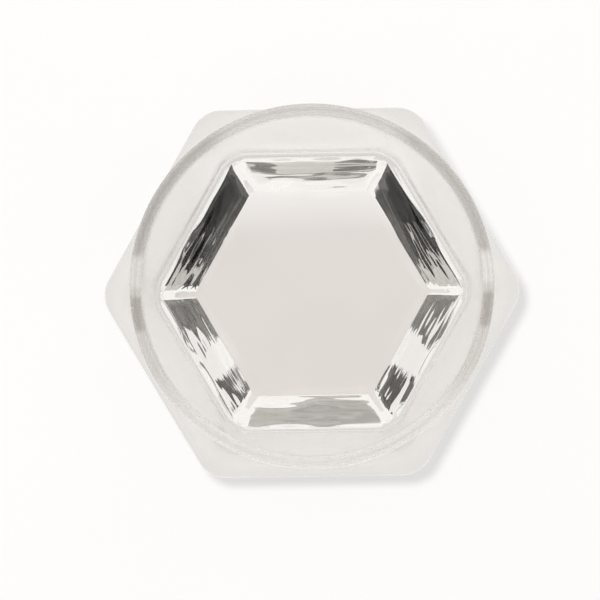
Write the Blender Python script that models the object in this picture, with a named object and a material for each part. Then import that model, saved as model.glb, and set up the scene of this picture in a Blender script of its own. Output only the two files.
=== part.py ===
"""A stout clear measuring cylinder that stands in a separate hexagonal foot.

Metres, +Z up. The origin is at the middle of the foot's underside. Two corners of the hexagon lie
along X, and the scale faces -Y. The cylinder lifts straight up out of the foot.
"""
import math

import bmesh
import bpy
from mathutils import Matrix, Vector

# Driving dimensions of the glass cylinder
RIM_HEIGHT = 0.0800
RIM_DIAMETER = 0.0530
RIM_WALL = 0.00175
BORE_FLATS = 0.0420
BORE_CORNER_RADIUS = 0.0045
PRESSED_WALL = 0.0019
PRESSED_ABOVE_FOOT = 0.0080
STRAIGHT_BELOW_RIM = 0.0040
FLOOR_THICKNESS = 0.0030
HEEL_RADIUS = 0.0006
BASE_EDGE_RADIUS = 0.0008

# The hexagonal hollow pressed into the underside of the glass floor
HOLLOW_DEPTH = 0.0050
HOLLOW_SLOPE = math.radians(43)
BASE_RING_WIDTH = 0.00234

# Driving dimensions of the foot
FOOT_WALL = 0.00445
COLLAR_WALL = 0.0010
FOOT_HEIGHT = 0.0220
SHOULDER_HEIGHT = 0.0100
FOOT_CORNER_RADIUS = 0.0045
FOOT_LOW_ROUND = 0.0005
SHOULDER_ROUND = 0.0006
COLLAR_ROUND = 0.0003
LEDGE_THICKNESS = 0.0017
LEDGE_SETBACK = 0.0003
FIT_CLEARANCE = 0.0003

# The enamel scale
ENAMEL_THICKNESS = 0.00025
ENAMEL_STAND_OFF = 0.00035
SCALE_STEP_ML = 5
MEDIUM_STEP_ML = 10
LONG_STEP_ML = 20
SCALE_FREEBOARD = 0.0080
SCALE_ABOVE_FOOT = 0.0030
LINE_HEIGHT = 0.0005
SPINE_WIDTH = 0.0005
SCALE_LEFT = -0.0090
LONG_LINE = 0.0120
MEDIUM_LINE = 0.0085
SHORT_LINE = 0.0055

# Refractive indices
GLASS_INDEX = 1.50
ACRYLIC_INDEX = 1.49

# How finely the round stretches are cut
RIM_STEPS = 6
HEEL_STEPS = 3
WALL_STEPS = 12
EDGE_STEPS = 4
HALF_SECTOR_DEGREES = (0, 1.6, 3.2, 4.8, 6.4, 11, 17, 23.5, 30)
SHARP_ANGLE = math.radians(30)
VOLUME_SLICE = 0.0001

# Sizes that follow from the driving dimensions
SEAT_HEIGHT = LEDGE_THICKNESS + FIT_CLEARANCE
FLOOR_HEIGHT = SEAT_HEIGHT + HOLLOW_DEPTH + FLOOR_THICKNESS
PRESSED_TOP = FOOT_HEIGHT + PRESSED_ABOVE_FOOT
PRESSED_FLATS = BORE_FLATS + 2 * PRESSED_WALL
PRESSED_CORNER_RADIUS = BORE_CORNER_RADIUS + PRESSED_WALL
HOLLOW_MOUTH_FLATS = PRESSED_FLATS - 2 * BASE_RING_WIDTH
HOLLOW_TOP_FLATS = HOLLOW_MOUTH_FLATS - 2 * HOLLOW_DEPTH / math.tan(HOLLOW_SLOPE)
SOCKET_FLATS = PRESSED_FLATS + 2 * FIT_CLEARANCE
SOCKET_CORNER_RADIUS = PRESSED_CORNER_RADIUS + FIT_CLEARANCE
FOOT_FLATS = SOCKET_FLATS + 2 * FOOT_WALL
COLLAR_FLATS = SOCKET_FLATS + 2 * COLLAR_WALL
LEDGE_OPENING_FLATS = HOLLOW_MOUTH_FLATS + 2 * LEDGE_SETBACK
RIM_RADIUS = RIM_DIAMETER / 2
BORE_RIM_RADIUS = RIM_RADIUS - RIM_WALL
RIM_ROUND = RIM_WALL / 2
RIM_ROUND_START = RIM_HEIGHT - RIM_ROUND
CUT_OVERRUN = 0.0010
ML = 1e-6


def empty_scene():
    """Clears the file and makes the two collections."""
    for old in list(bpy.data.objects):
        bpy.data.objects.remove(old, do_unlink=True)
    collections = []
    for name in ("measuring_cylinder", "cutters"):
        collection = bpy.data.collections.new(name)
        bpy.context.scene.collection.children.link(collection)
        collections.append(collection)
    return collections


def clear_material(name, colour, roughness, index):
    """A clear solid such as glass or acrylic."""
    material = bpy.data.materials.new(name)
    material.use_nodes = True
    shader = material.node_tree.nodes["Principled BSDF"]
    shader.inputs["Base Color"].default_value = (*colour, 1)
    shader.inputs["Roughness"].default_value = roughness
    shader.inputs["Metallic"].default_value = 0
    shader.inputs["IOR"].default_value = index
    shader.inputs["Transmission Weight"].default_value = 1
    return material


def enamel_material():
    """The fired white enamel of the scale."""
    material = bpy.data.materials.new("white_enamel")
    material.use_nodes = True
    shader = material.node_tree.nodes["Principled BSDF"]
    shader.inputs["Base Color"].default_value = (0.88, 0.88, 0.86, 1)
    shader.inputs["Roughness"].default_value = 0.45
    shader.inputs["Metallic"].default_value = 0
    return material


def mesh_object(name, mesh, collection, material=None):
    """Turns a bmesh into a named object with its faces pointing out."""
    bmesh.ops.recalc_face_normals(mesh, faces=mesh.faces)
    data = bpy.data.meshes.new(name)
    mesh.to_mesh(data)
    mesh.free()
    data.shade_smooth()
    data.set_sharp_from_angle(angle=SHARP_ANGLE)
    thing = bpy.data.objects.new(name, data)
    collection.objects.link(thing)
    if material:
        data.materials.append(material)
    return thing


def cutter_object(name, mesh):
    """A tool body that is drawn as wire and left out of the part."""
    tool = mesh_object(name, mesh, CUTTERS)
    tool.hide_render = True
    tool.display_type = "WIRE"
    return tool


def cut(thing, tool, operation="DIFFERENCE"):
    """Adds a Boolean with the tool to the thing."""
    boolean = thing.modifiers.new(tool.name, "BOOLEAN")
    boolean.operation = operation
    boolean.solver = "EXACT"
    boolean.object = tool


def section_angles():
    """Angles round a section, closer together near the six corners."""
    half = [math.radians(degrees) for degrees in HALF_SECTOR_DEGREES]
    sector = half + [math.pi / 3 - angle for angle in reversed(half[1:-1])]
    return [math.pi / 3 * side + angle for side in range(6) for angle in sector]


def hexagon_radius(angle, flats, corner_radius):
    """Distance from the axis to a hexagon with rounded corners, one corner on +X."""
    apothem = flats / 2
    from_corner = abs((angle + math.pi / 6) % (math.pi / 3) - math.pi / 6)
    corner_centre = (apothem - corner_radius) / math.cos(math.pi / 6)
    arc_start = math.pi / 6 - math.atan2(corner_centre / 2, apothem)
    if from_corner >= arc_start:
        return apothem / math.cos(math.pi / 6 - from_corner)
    across = corner_centre * math.sin(from_corner)
    return corner_centre * math.cos(from_corner) + math.sqrt(corner_radius ** 2 - across ** 2)


def roundness(z):
    """How far the wall has turned from hexagon (0) to circle (1) at a height."""
    share = (z - PRESSED_TOP) / (RIM_HEIGHT - STRAIGHT_BELOW_RIM - PRESSED_TOP)
    share = min(max(share, 0), 1)
    return share * share * (3 - 2 * share)


def blended_section(z, flats, corner_radius, circle_radius=0.0, mix=0.0):
    """Points round a section at a height, from a hexagon (mix 0) to a circle (mix 1)."""
    points = []
    for angle in section_angles():
        radius = (1 - mix) * hexagon_radius(angle, flats, corner_radius) + mix * circle_radius
        points.append((radius * math.cos(angle), radius * math.sin(angle), z))
    return points


def outside_section(z, grown=0.0):
    """The cylinder's outer section at a height, grown outwards by a distance."""
    return blended_section(
        z, PRESSED_FLATS + 2 * grown, PRESSED_CORNER_RADIUS + grown, RIM_RADIUS + grown, roundness(z))


def bore_section(z, grown=0.0):
    """The bore's section at a height."""
    return blended_section(
        z, BORE_FLATS + 2 * grown, BORE_CORNER_RADIUS + grown, BORE_RIM_RADIUS + grown, roundness(z))


def quarter(steps):
    """Sine and cosine pairs over a quarter turn."""
    turns = [math.pi / 2 * step / steps for step in range(steps + 1)]
    return [(math.sin(turn), math.cos(turn)) for turn in turns]


def loft(sections, closed=False):
    """Skins sections that follow each other, and caps the two ends unless it closes on itself."""
    mesh = bmesh.new()
    loops = [[mesh.verts.new(point) for point in section] for section in sections]
    followers = loops[1:] + ([loops[0]] if closed else [])
    for low, high in zip(loops, followers):
        for index, corner in enumerate(low):
            after = (index + 1) % len(low)
            mesh.faces.new((corner, low[after], high[after], high[index]))
    if not closed:
        mesh.faces.new(loops[0])
        mesh.faces.new(loops[-1])
    return mesh


def wall_heights():
    """Heights up the wall, from the end of the pressed hexagon to the start of the rim's round."""
    rise = RIM_ROUND_START - PRESSED_TOP
    return [PRESSED_TOP + rise * step / WALL_STEPS for step in range(WALL_STEPS + 1)]


def hexagonal_taper(flats_low, flats_high, z_low, z_high):
    """A sharp six-sided taper with a corner along +X."""
    mesh = bmesh.new()
    height = z_high - z_low
    to_corner = 1 / math.cos(math.pi / 6) / 2
    bmesh.ops.create_cone(
        mesh, cap_ends=True, segments=6, depth=height,
        radius1=flats_low * to_corner, radius2=flats_high * to_corner)
    place = Matrix.Translation((0, 0, z_low + height / 2)) @ Matrix.Rotation(math.pi / 6, 4, "Z")
    bmesh.ops.transform(mesh, matrix=place, verts=mesh.verts)
    return mesh


def rounded_corner(before, corner, after, radius):
    """Points along the arc that rounds one corner of a profile."""
    back = (Vector(before) - Vector(corner)).normalized()
    ahead = (Vector(after) - Vector(corner)).normalized()
    half = back.angle(ahead) / 2
    centre = Vector(corner) + (back + ahead).normalized() * radius / math.sin(half)
    start = Vector(corner) + back * radius / math.tan(half) - centre
    end = Vector(corner) + ahead * radius / math.tan(half) - centre
    sweep = start.angle(end)
    points = []
    for step in range(EDGE_STEPS + 1):
        turn = sweep * step / EDGE_STEPS
        points.append(centre + (start * math.sin(sweep - turn) + end * math.sin(turn)) / math.sin(sweep))
    return points


def make_glass_cylinder(material):
    """The vessel: one skin up the outside, over the rim, down the bore and across the floor."""
    sections = []
    for rise, run in quarter(HEEL_STEPS):
        z = SEAT_HEIGHT + BASE_EDGE_RADIUS * (1 - run)
        sections.append(outside_section(z, -BASE_EDGE_RADIUS * (1 - rise)))
    sections += [outside_section(z) for z in wall_heights()]
    for step in range(1, RIM_STEPS):
        turn = math.pi * step / RIM_STEPS
        inwards = RIM_ROUND * (1 - math.cos(turn))
        sections.append(outside_section(RIM_ROUND_START + RIM_ROUND * math.sin(turn), -inwards))
    sections += [bore_section(z) for z in reversed(wall_heights())]
    for rise, run in quarter(HEEL_STEPS):
        z = FLOOR_HEIGHT + HEEL_RADIUS * (1 - rise)
        sections.append(bore_section(z, -HEEL_RADIUS * (1 - run)))
    vessel = mesh_object("glass_cylinder", loft(sections), PARTS, material)
    hollow = hexagonal_taper(
        HOLLOW_MOUTH_FLATS + 2 * CUT_OVERRUN / math.tan(HOLLOW_SLOPE), HOLLOW_TOP_FLATS,
        SEAT_HEIGHT - CUT_OVERRUN, SEAT_HEIGHT + HOLLOW_DEPTH)
    cut(vessel, cutter_object("floor_hollow_cutter", hollow))
    return vessel


def foot_profile():
    """Half width and height up the foot: an upright wall, a shoulder and a slope up to the collar."""
    inner = SOCKET_FLATS / 2
    base, shoulder = (FOOT_FLATS / 2, 0), (FOOT_FLATS / 2, SHOULDER_HEIGHT)
    collar = (COLLAR_FLATS / 2, FOOT_HEIGHT)
    points = rounded_corner((inner, 0), base, shoulder, FOOT_LOW_ROUND)
    points += rounded_corner(base, shoulder, collar, SHOULDER_ROUND)
    return points + rounded_corner(shoulder, collar, (inner, FOOT_HEIGHT), COLLAR_ROUND)


def make_foot(material):
    """The foot: a hexagonal block with a socket, and a ledge that carries the cylinder."""
    sections = []
    for half, z in foot_profile():
        corner_radius = FOOT_CORNER_RADIUS * 2 * half / FOOT_FLATS
        sections.append(blended_section(z, 2 * half, corner_radius))
    foot = mesh_object("hexagonal_foot", loft(sections), PARTS, material)
    socket_ends = (LEDGE_THICKNESS, FOOT_HEIGHT + CUT_OVERRUN)
    socket = loft([blended_section(z, SOCKET_FLATS, SOCKET_CORNER_RADIUS) for z in socket_ends])
    cut(foot, cutter_object("socket_cutter", socket))
    opening_ends = (-CUT_OVERRUN, LEDGE_THICKNESS + CUT_OVERRUN)
    opening = loft([blended_section(z, LEDGE_OPENING_FLATS, BORE_CORNER_RADIUS) for z in opening_ends])
    cut(foot, cutter_object("ledge_opening_cutter", opening))
    return foot


def polygon_area(points):
    """Area of a flat outline in X and Y."""
    pairs = zip(points, points[1:] + points[:1])
    return sum(a[0] * b[1] - b[0] * a[1] for a, b in pairs) / 2


def scale_marks():
    """Volume and height of each line that the bore has room for, found by filling it in thin slices."""
    marks = []
    filled = 0.0
    z = FLOOR_HEIGHT
    next_ml = SCALE_STEP_ML
    while z < RIM_HEIGHT - SCALE_FREEBOARD:
        filled += polygon_area(bore_section(z)) * VOLUME_SLICE
        z += VOLUME_SLICE
        if filled >= next_ml * ML:
            if z > FOOT_HEIGHT + SCALE_ABOVE_FOOT:
                marks.append((next_ml, z))
            next_ml += SCALE_STEP_ML
    return marks


def enamel_sleeve():
    """A thin closed sleeve round the cylinder, from which the scale is cut."""
    heights = [FOOT_HEIGHT] + wall_heights()
    sections = [outside_section(z, ENAMEL_STAND_OFF + ENAMEL_THICKNESS) for z in heights]
    sections += [outside_section(z, ENAMEL_STAND_OFF) for z in reversed(heights)]
    return cutter_object("enamel_sleeve", loft(sections, closed=True))


def line_length(volume):
    """Long lines mark each twenty, medium lines each ten, and the rest are short."""
    if volume % LONG_STEP_ML == 0:
        return LONG_LINE
    return MEDIUM_LINE if volume % MEDIUM_STEP_ML == 0 else SHORT_LINE


def make_scale(marks, material):
    """The scale: an upright line with a cross line at each mark, trimmed to a thin sleeve."""
    half = LINE_HEIGHT / 2
    spine_right = SCALE_LEFT + SPINE_WIDTH
    outline = [(SCALE_LEFT, marks[-1][1] + half), (SCALE_LEFT, marks[0][1] - half)]
    for index, (volume, z) in enumerate(marks):
        line_right = SCALE_LEFT + line_length(volume)
        if index > 0:
            outline.append((spine_right, z - half))
        outline += [(line_right, z - half), (line_right, z + half)]
        if index < len(marks) - 1:
            outline.append((spine_right, z + half))
    comb = bmesh.new()
    face = comb.faces.new([comb.verts.new((x, -RIM_DIAMETER, z)) for x, z in outline])
    grown = bmesh.ops.extrude_face_region(comb, geom=[face])
    far = [part for part in grown["geom"] if isinstance(part, bmesh.types.BMVert)]
    bmesh.ops.translate(comb, verts=far, vec=(0, RIM_DIAMETER, 0))
    lines = mesh_object("scale_lines", comb, PARTS, material)
    cut(lines, enamel_sleeve(), "INTERSECT")
    return lines


PARTS, CUTTERS = empty_scene()
glass = clear_material("clear_glass", (0.96, 0.98, 0.97), 0.02, GLASS_INDEX)
acrylic = clear_material("clear_acrylic", (0.97, 0.97, 0.96), 0.05, ACRYLIC_INDEX)
enamel = enamel_material()
make_foot(acrylic)
scale = scale_marks()
lift_axis = bpy.data.objects.new("lift_axis", None)
lift_axis.location = (0, 0, SEAT_HEIGHT)
PARTS.objects.link(lift_axis)
bpy.context.view_layer.update()
for piece in (make_glass_cylinder(glass), make_scale(scale, enamel)):
    piece.parent = lift_axis
    piece.matrix_parent_inverse = lift_axis.matrix_world.inverted()
print("foot across flats: %.2f mm" % (1000 * FOOT_FLATS))
print("hollow across flats: %.2f to %.2f mm" % (1000 * HOLLOW_MOUTH_FLATS, 1000 * HOLLOW_TOP_FLATS))
print("scale:", ", ".join("%d ml at %.1f mm" % (volume, 1000 * z) for volume, z in scale))
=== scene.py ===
# %% [markdown]
# # A measuring cylinder in a hexagonal foot, seen from straight above
#
# The object is a stout glass cylinder with a round mouth and a hexagonal lower end. It stands in a
# separate clear foot, and a white enamel scale runs up its front. Nearly everything the camera sees is
# light that has been bent by glass, so the shapes have to be exact and smooth, and what stands round
# the object matters as much as the lamp does. We load the fixed CAD frame first and keep its box.

# %% The frame
import math

import bmesh
import bpy
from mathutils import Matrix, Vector, noise


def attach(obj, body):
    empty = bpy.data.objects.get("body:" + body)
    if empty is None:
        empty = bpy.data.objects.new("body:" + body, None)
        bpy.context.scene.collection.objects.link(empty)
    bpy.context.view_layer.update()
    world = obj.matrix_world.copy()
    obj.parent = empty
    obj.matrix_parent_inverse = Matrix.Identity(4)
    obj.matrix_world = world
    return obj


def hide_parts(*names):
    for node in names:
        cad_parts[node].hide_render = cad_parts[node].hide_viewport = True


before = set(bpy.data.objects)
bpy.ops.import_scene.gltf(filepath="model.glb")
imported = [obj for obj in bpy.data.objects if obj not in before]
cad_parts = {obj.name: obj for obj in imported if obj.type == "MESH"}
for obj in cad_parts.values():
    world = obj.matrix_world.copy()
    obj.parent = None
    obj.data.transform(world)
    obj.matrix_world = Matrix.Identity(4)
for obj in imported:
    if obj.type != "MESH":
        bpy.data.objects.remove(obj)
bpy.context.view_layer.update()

scene = bpy.context.scene

# %% [markdown]
# ## Camera
#
# The picture was taken from almost straight above with a long lens, because the mouth looks only a
# little larger than the foot. We put the camera two metres up. It leans by less than a degree, which
# moves the mouth a little towards the top of the picture, and it is rolled by about a degree, as the
# hexagon is. The lens could be given in millimetres. Here it follows from how many millimetres of table
# the square picture covers, because that can be measured in the picture.

# %% Camera
CAMERA_HEIGHT = 2.000
CAMERA_LEAN = math.radians(0.78)
CAMERA_ROLL = math.radians(-0.9)
PICTURE_WIDTH = 0.0906
SHIFT = (-0.0247, -0.0108)
NEAREST = 0.01


def add_camera():
    """Adds the camera above the table, aimed at the middle of the foot."""
    bpy.ops.object.select_all(action="DESELECT")
    place = Vector((0, -CAMERA_HEIGHT * math.tan(CAMERA_LEAN), CAMERA_HEIGHT))
    bpy.ops.object.camera_add(location=place)
    camera = bpy.context.object
    camera.name = "camera"
    look = (-place).to_track_quat("-Z", "Y").to_euler()
    camera.rotation_euler = (look.x, look.y, look.z + CAMERA_ROLL)
    camera.data.angle = 2 * math.atan(PICTURE_WIDTH / 2 / CAMERA_HEIGHT)
    camera.data.shift_x, camera.data.shift_y = SHIFT
    camera.data.clip_start = NEAREST
    return camera


scene.camera = add_camera()
print("lens in mm:", round(scene.camera.data.lens, 1))

# %% [markdown]
# ## Helpers for modelling by hand
#
# Each piece starts as a primitive and is shaped in edit mode. By hand one clicks on the edges and faces
# to work on. Here a small helper selects them by a test of where they are.

# %% Helpers
TO_CORNER = 1 / math.cos(math.pi / 6)
NEAR = 1e-5
STEEP = 20


def pick(kind, wanted):
    """In edit mode, selects the vertices, edges or faces that pass a test."""
    bpy.ops.mesh.select_mode(type=kind)
    bpy.ops.mesh.select_all(action="DESELECT")
    data = bpy.context.object.data
    mesh = bmesh.from_edit_mesh(data)
    things = {"VERT": mesh.verts, "EDGE": mesh.edges, "FACE": mesh.faces}[kind]
    chosen = [thing for thing in things if wanted(thing)]
    for thing in chosen:
        thing.select_set(True)
    mesh.select_flush_mode()
    bmesh.update_edit_mesh(data)
    return len(chosen)


def at_height(z, reach=NEAR):
    """A test for edges and faces that lie flat at a height."""
    return lambda thing: all(abs(corner.co.z - z) < reach for corner in thing.verts)


def upright(edge):
    """A test for edges that run up or down."""
    low, high = edge.verts[0].co, edge.verts[1].co
    return abs(low.z - high.z) > STEEP * (low.xy - high.xy).length


def start_prism(name, flats, low, high):
    """Adds a six-sided prism with a corner on +X, as a new object in edit mode."""
    bpy.ops.object.select_all(action="DESELECT")
    bpy.ops.mesh.primitive_cylinder_add(
        vertices=6, radius=flats / 2 * TO_CORNER, depth=high - low,
        location=(0, 0, (low + high) / 2), rotation=(0, 0, math.pi / 6))
    piece = bpy.context.object
    piece.name = piece.data.name = name
    bpy.ops.object.transform_apply(location=True, rotation=True, scale=True)
    bpy.ops.object.mode_set(mode="EDIT")
    return piece


def round_corners(radius, segments):
    """Rounds the six upright edges of a prism."""
    pick("EDGE", upright)
    bpy.ops.mesh.bevel(
        offset=radius * math.tan(math.pi / 6), segments=segments, profile=0.5, affect="EDGES")


# %% Joining open shapes
STEP = 0.0004


def bridge(low, high):
    """Bridges the open edges at two heights, then slides the upper ones down to the lower."""
    found = pick("EDGE", lambda edge: at_height(low)(edge) or at_height(high)(edge))
    bpy.ops.mesh.bridge_edge_loops()
    pick("VERT", lambda vertex: abs(vertex.co.z - high) < NEAR)
    bpy.ops.transform.translate(value=(0, 0, low - high))
    return found


def join(pieces):
    """Joins several objects into the first one and goes back to edit mode."""
    bpy.ops.object.select_all(action="DESELECT")
    for piece in pieces:
        piece.select_set(True)
    bpy.context.view_layer.objects.active = pieces[0]
    bpy.ops.object.join()
    bpy.ops.object.mode_set(mode="EDIT")


def face_out():
    """Turns every face of a closed piece outwards."""
    bpy.ops.mesh.select_mode(type="FACE")
    bpy.ops.mesh.select_all(action="SELECT")
    bpy.ops.mesh.normals_make_consistent(inside=False)


# %% [markdown]
# ## Glass cylinder
#
# The lower end of the vessel is pressed to a hexagon with rounded corners, and the mouth is round. A
# loft from a hexagon to a circle would give that shape, but Blender has no loft. So a prism is beveled,
# inset and extruded into a hexagonal pot first. A second, smaller prism becomes the hollow that is
# pressed into the underside, and bridging two open edges joins them.

# %% Pot
RIM_HEIGHT = 0.0800
RIM_RADIUS = 0.02650
RIM_WALL = 0.00175
BORE_FLATS = 0.0420
BORE_CORNER = 0.0045
PRESSED_WALL = 0.0019
SEAT_HEIGHT = 0.0020
FLOOR_HEIGHT = 0.0100
HOLLOW_TOP = 0.0070
HOLLOW_TOP_FLATS = 0.0304
BASE_RING = 0.00234
HOLLOW_CORNER = 0.0016
CORNER_CUTS = 10
PRESSED_FLATS = BORE_FLATS + 2 * PRESSED_WALL


def make_pot():
    """The hexagonal pot before its mouth is drawn round, still open below."""
    pot = start_prism("glass_vessel", PRESSED_FLATS, SEAT_HEIGHT, RIM_HEIGHT)
    round_corners(BORE_CORNER + PRESSED_WALL, CORNER_CUTS)
    pick("FACE", at_height(RIM_HEIGHT))
    bpy.ops.mesh.inset(thickness=PRESSED_WALL)
    bpy.ops.mesh.extrude_region_move(
        TRANSFORM_OT_translate={"value": (0, 0, FLOOR_HEIGHT - RIM_HEIGHT)})
    pick("FACE", at_height(SEAT_HEIGHT))
    bpy.ops.mesh.delete(type="ONLY_FACE")
    bpy.ops.object.mode_set(mode="OBJECT")
    return pot


def make_hollow():
    """The hexagonal hollow that is pressed into the underside, open at its mouth."""
    mouth_flats = PRESSED_FLATS - 2 * BASE_RING
    hollow = start_prism("hollow", mouth_flats, SEAT_HEIGHT + STEP, HOLLOW_TOP)
    round_corners(HOLLOW_CORNER, CORNER_CUTS)
    pick("FACE", at_height(HOLLOW_TOP))
    shrink = HOLLOW_TOP_FLATS / mouth_flats
    bpy.ops.transform.resize(value=(shrink, shrink, 1))
    pick("FACE", at_height(SEAT_HEIGHT + STEP))
    bpy.ops.mesh.delete(type="ONLY_FACE")
    bpy.ops.object.mode_set(mode="OBJECT")
    return hollow


glass_vessel = make_pot()
join([glass_vessel, make_hollow()])
bridge(SEAT_HEIGHT, SEAT_HEIGHT + STEP)
face_out()
print("pot faces:", len(bmesh.from_edit_mesh(glass_vessel.data).faces))

# %% [markdown]
# ## Rings and columns
#
# A wall that changes from a hexagon to a circle needs points to bend at. Subdividing only the upright
# edges cuts rings, as loop cuts would by hand, and subdividing the long level edges cuts columns. The
# slopes of the hollow are cut finer than the wall, because they get a relief of a few thousandths of a
# millimetre later.

# %% Rings up the wall and columns across the flats
WALL_CUTS = 47
FACET_CUTS = 39
FLAT_CUTS = 17
LONG_EDGE = 0.005
MOST = 0.9


def flat_length(edge):
    """How far the two ends of an edge lie apart, measured flat."""
    return (edge.verts[0].co.xy - edge.verts[1].co.xy).length


def cut_walls():
    """Cuts the wall into rings, and each flat side into columns."""
    tall = RIM_HEIGHT - FLOOR_HEIGHT
    pick("EDGE", lambda edge: upright(edge) and edge.calc_length() > MOST * tall)
    bpy.ops.mesh.subdivide(number_cuts=WALL_CUTS)
    slope = HOLLOW_TOP - SEAT_HEIGHT
    pick("EDGE", lambda edge: not upright(edge) and abs(
        edge.verts[0].co.z - edge.verts[1].co.z) > MOST * slope)
    bpy.ops.mesh.subdivide(number_cuts=FACET_CUTS)
    pick("EDGE", lambda edge: flat_length(edge) > LONG_EDGE and abs(
        edge.verts[0].co.z - edge.verts[1].co.z) < NEAR)
    bpy.ops.mesh.subdivide(number_cuts=FLAT_CUTS)


cut_walls()
bpy.ops.object.mode_set(mode="OBJECT")
print("pot faces after cutting:", len(glass_vessel.data.polygons))

# %% [markdown]
# ## Drawing the mouth round
#
# A glass worker heats the upper wall and spreads it over a round former. A Cast modifier does the same:
# it pulls points out to a cylinder, and a vertex group says how far at each height. Scaling the wall
# ring by ring would take many more steps, and this blend is the one the CAD uses, so the two agree.

# %% Drawing the mouth round
PRESSED_TOP = 0.0300
STRAIGHT_BELOW_RIM = 0.0040


def roundness(z):
    """How far the wall has turned from hexagon (0) to circle (1) at a height."""
    share = (z - PRESSED_TOP) / (RIM_HEIGHT - STRAIGHT_BELOW_RIM - PRESSED_TOP)
    share = min(max(share, 0), 1)
    return share * share * (3 - 2 * share)


def is_bore(place):
    """True for a point on the bore's side of the wall, where the wall is still a hexagon."""
    side = max(abs(place.xy.dot(Vector((math.cos(a), math.sin(a))))) for a in (
        math.pi / 6, math.pi / 2, math.pi * 5 / 6))
    return side < BORE_FLATS / 2 + PRESSED_WALL / 2


def draw_round(piece, name, radius, wanted):
    """Pulls part of the wall out to a circle, by a Cast modifier that is weighted by height."""
    group = piece.vertex_groups.new(name=name)
    for vertex in piece.data.vertices:
        if wanted(vertex.co):
            group.add([vertex.index], roundness(vertex.co.z), "REPLACE")
    cast = piece.modifiers.new(name, "CAST")
    cast.cast_type = "CYLINDER"
    cast.use_x = cast.use_y = True
    cast.use_z = False
    cast.factor = 1.0
    cast.radius = 0
    cast.size = radius
    cast.use_radius_as_size = False
    cast.vertex_group = name
    return cast.name


modifiers = [
    draw_round(glass_vessel, "round_bore", RIM_RADIUS - RIM_WALL, is_bore),
    draw_round(glass_vessel, "round_outside", RIM_RADIUS, lambda place: not is_bore(place)),
]
for name in modifiers:
    bpy.ops.object.modifier_apply(modifier=name)
tops = [vertex.co.xy.length for vertex in glass_vessel.data.vertices if vertex.co.z > RIM_HEIGHT - NEAR]
print("rim radii in mm:", round(1000 * min(tops), 3), round(1000 * max(tops), 3))

# %% [markdown]
# ## Rim, heel and pressed edges
#
# Molten glass has no knife edges. The rim is fire-polished to a half circle and the pressed edges are
# rounded, all by bevels on picked edges. A narrow inset beside a bevel keeps the large flat face next
# to it from being shaded as if it were curved. The floor also gets a finely cut ring above the slopes
# of the hollow, which the sink marks further down need.

# %% Rounding and finishing
SHARP_DEGREES = 32
MERGE = 1e-7


def round_loop(z, radius, segments, beyond=0.0):
    """Rounds the closed edges at a height that lie further than a distance from the axis."""
    flat = at_height(z)
    found = pick("EDGE", lambda edge: flat(edge) and all(
        corner.co.xy.length > beyond for corner in edge.verts) and len(
        {round(face.normal.z, 1) for face in edge.link_faces}) > 1)
    bpy.ops.mesh.bevel(offset=radius, segments=segments, profile=0.5, affect="EDGES")
    return found


def finish_piece(piece):
    """Leaves edit mode, with clean outward faces and smooth shading between sharp edges."""
    face_out()
    bpy.ops.mesh.remove_doubles(threshold=MERGE)
    bpy.ops.object.mode_set(mode="OBJECT")
    bpy.ops.object.shade_smooth_by_angle(angle=math.radians(SHARP_DEGREES))
    print(piece.name, "faces:", len(piece.data.polygons))


# %% Rim, heel and pressed edges
RIM_SEGMENTS = 14
ROUND_SHARE = 0.499
HEEL_RADIUS = 0.0006
HEEL_SEGMENTS = 6
BASE_EDGE = 0.0008
HOLLOW_EDGE = 0.0003
EDGE_SEGMENTS = 4
SUPPORT = 0.0002
FLOOR_RING = 0.70
FLOOR_RING_CUTS = 29


def ring_floor():
    """Lays a finely cut ring round the flat middle of the floor, over the facets of the hollow."""
    pick("FACE", lambda face: at_height(FLOOR_HEIGHT)(face) and len(face.verts) > 4)
    bpy.ops.mesh.extrude_region_move(TRANSFORM_OT_translate={"value": (0, 0, 0)})
    bpy.ops.transform.resize(value=(FLOOR_RING, FLOOR_RING, 1))
    flat = at_height(FLOOR_HEIGHT)
    found = pick("EDGE", lambda edge: flat(edge) and edge.calc_length() > LONG_EDGE)
    bpy.ops.mesh.subdivide(number_cuts=FLOOR_RING_CUTS)
    return found


def round_edges():
    """Fire-polishes the rim to almost a half circle and rounds the pressed edges."""
    bpy.ops.object.mode_set(mode="EDIT")
    print("rim edges:", round_loop(RIM_HEIGHT, ROUND_SHARE * RIM_WALL, RIM_SEGMENTS))
    print("heel edges:", round_loop(FLOOR_HEIGHT, HEEL_RADIUS, HEEL_SEGMENTS))
    pick("FACE", at_height(FLOOR_HEIGHT))
    bpy.ops.mesh.inset(thickness=SUPPORT)
    print("floor ring edges:", ring_floor())
    print("hollow top edges:", round_loop(HOLLOW_TOP, HOLLOW_EDGE, EDGE_SEGMENTS))
    pick("FACE", at_height(HOLLOW_TOP))
    bpy.ops.mesh.inset(thickness=SUPPORT)
    print("base edges:", round_loop(SEAT_HEIGHT, BASE_EDGE / 2, EDGE_SEGMENTS))


round_edges()
finish_piece(glass_vessel)

# %% [markdown]
# ## Slump and ripples in the hollow
#
# Seen from above, the six slopes of the hollow act as mirrors and show what stands beside the foot. A
# perfect mirror would give clean pictures with straight edges. Pressed glass sinks a little and keeps
# fine ripples from the mould, so the tones in it are streaked. A bump map would only pretend this in
# the shading, so a Displace modifier moves the points themselves, weighted point by point.

# %% Places on the slopes
FACET_TURNS = [math.radians(30 + 60 * i) for i in range(6)]


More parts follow.
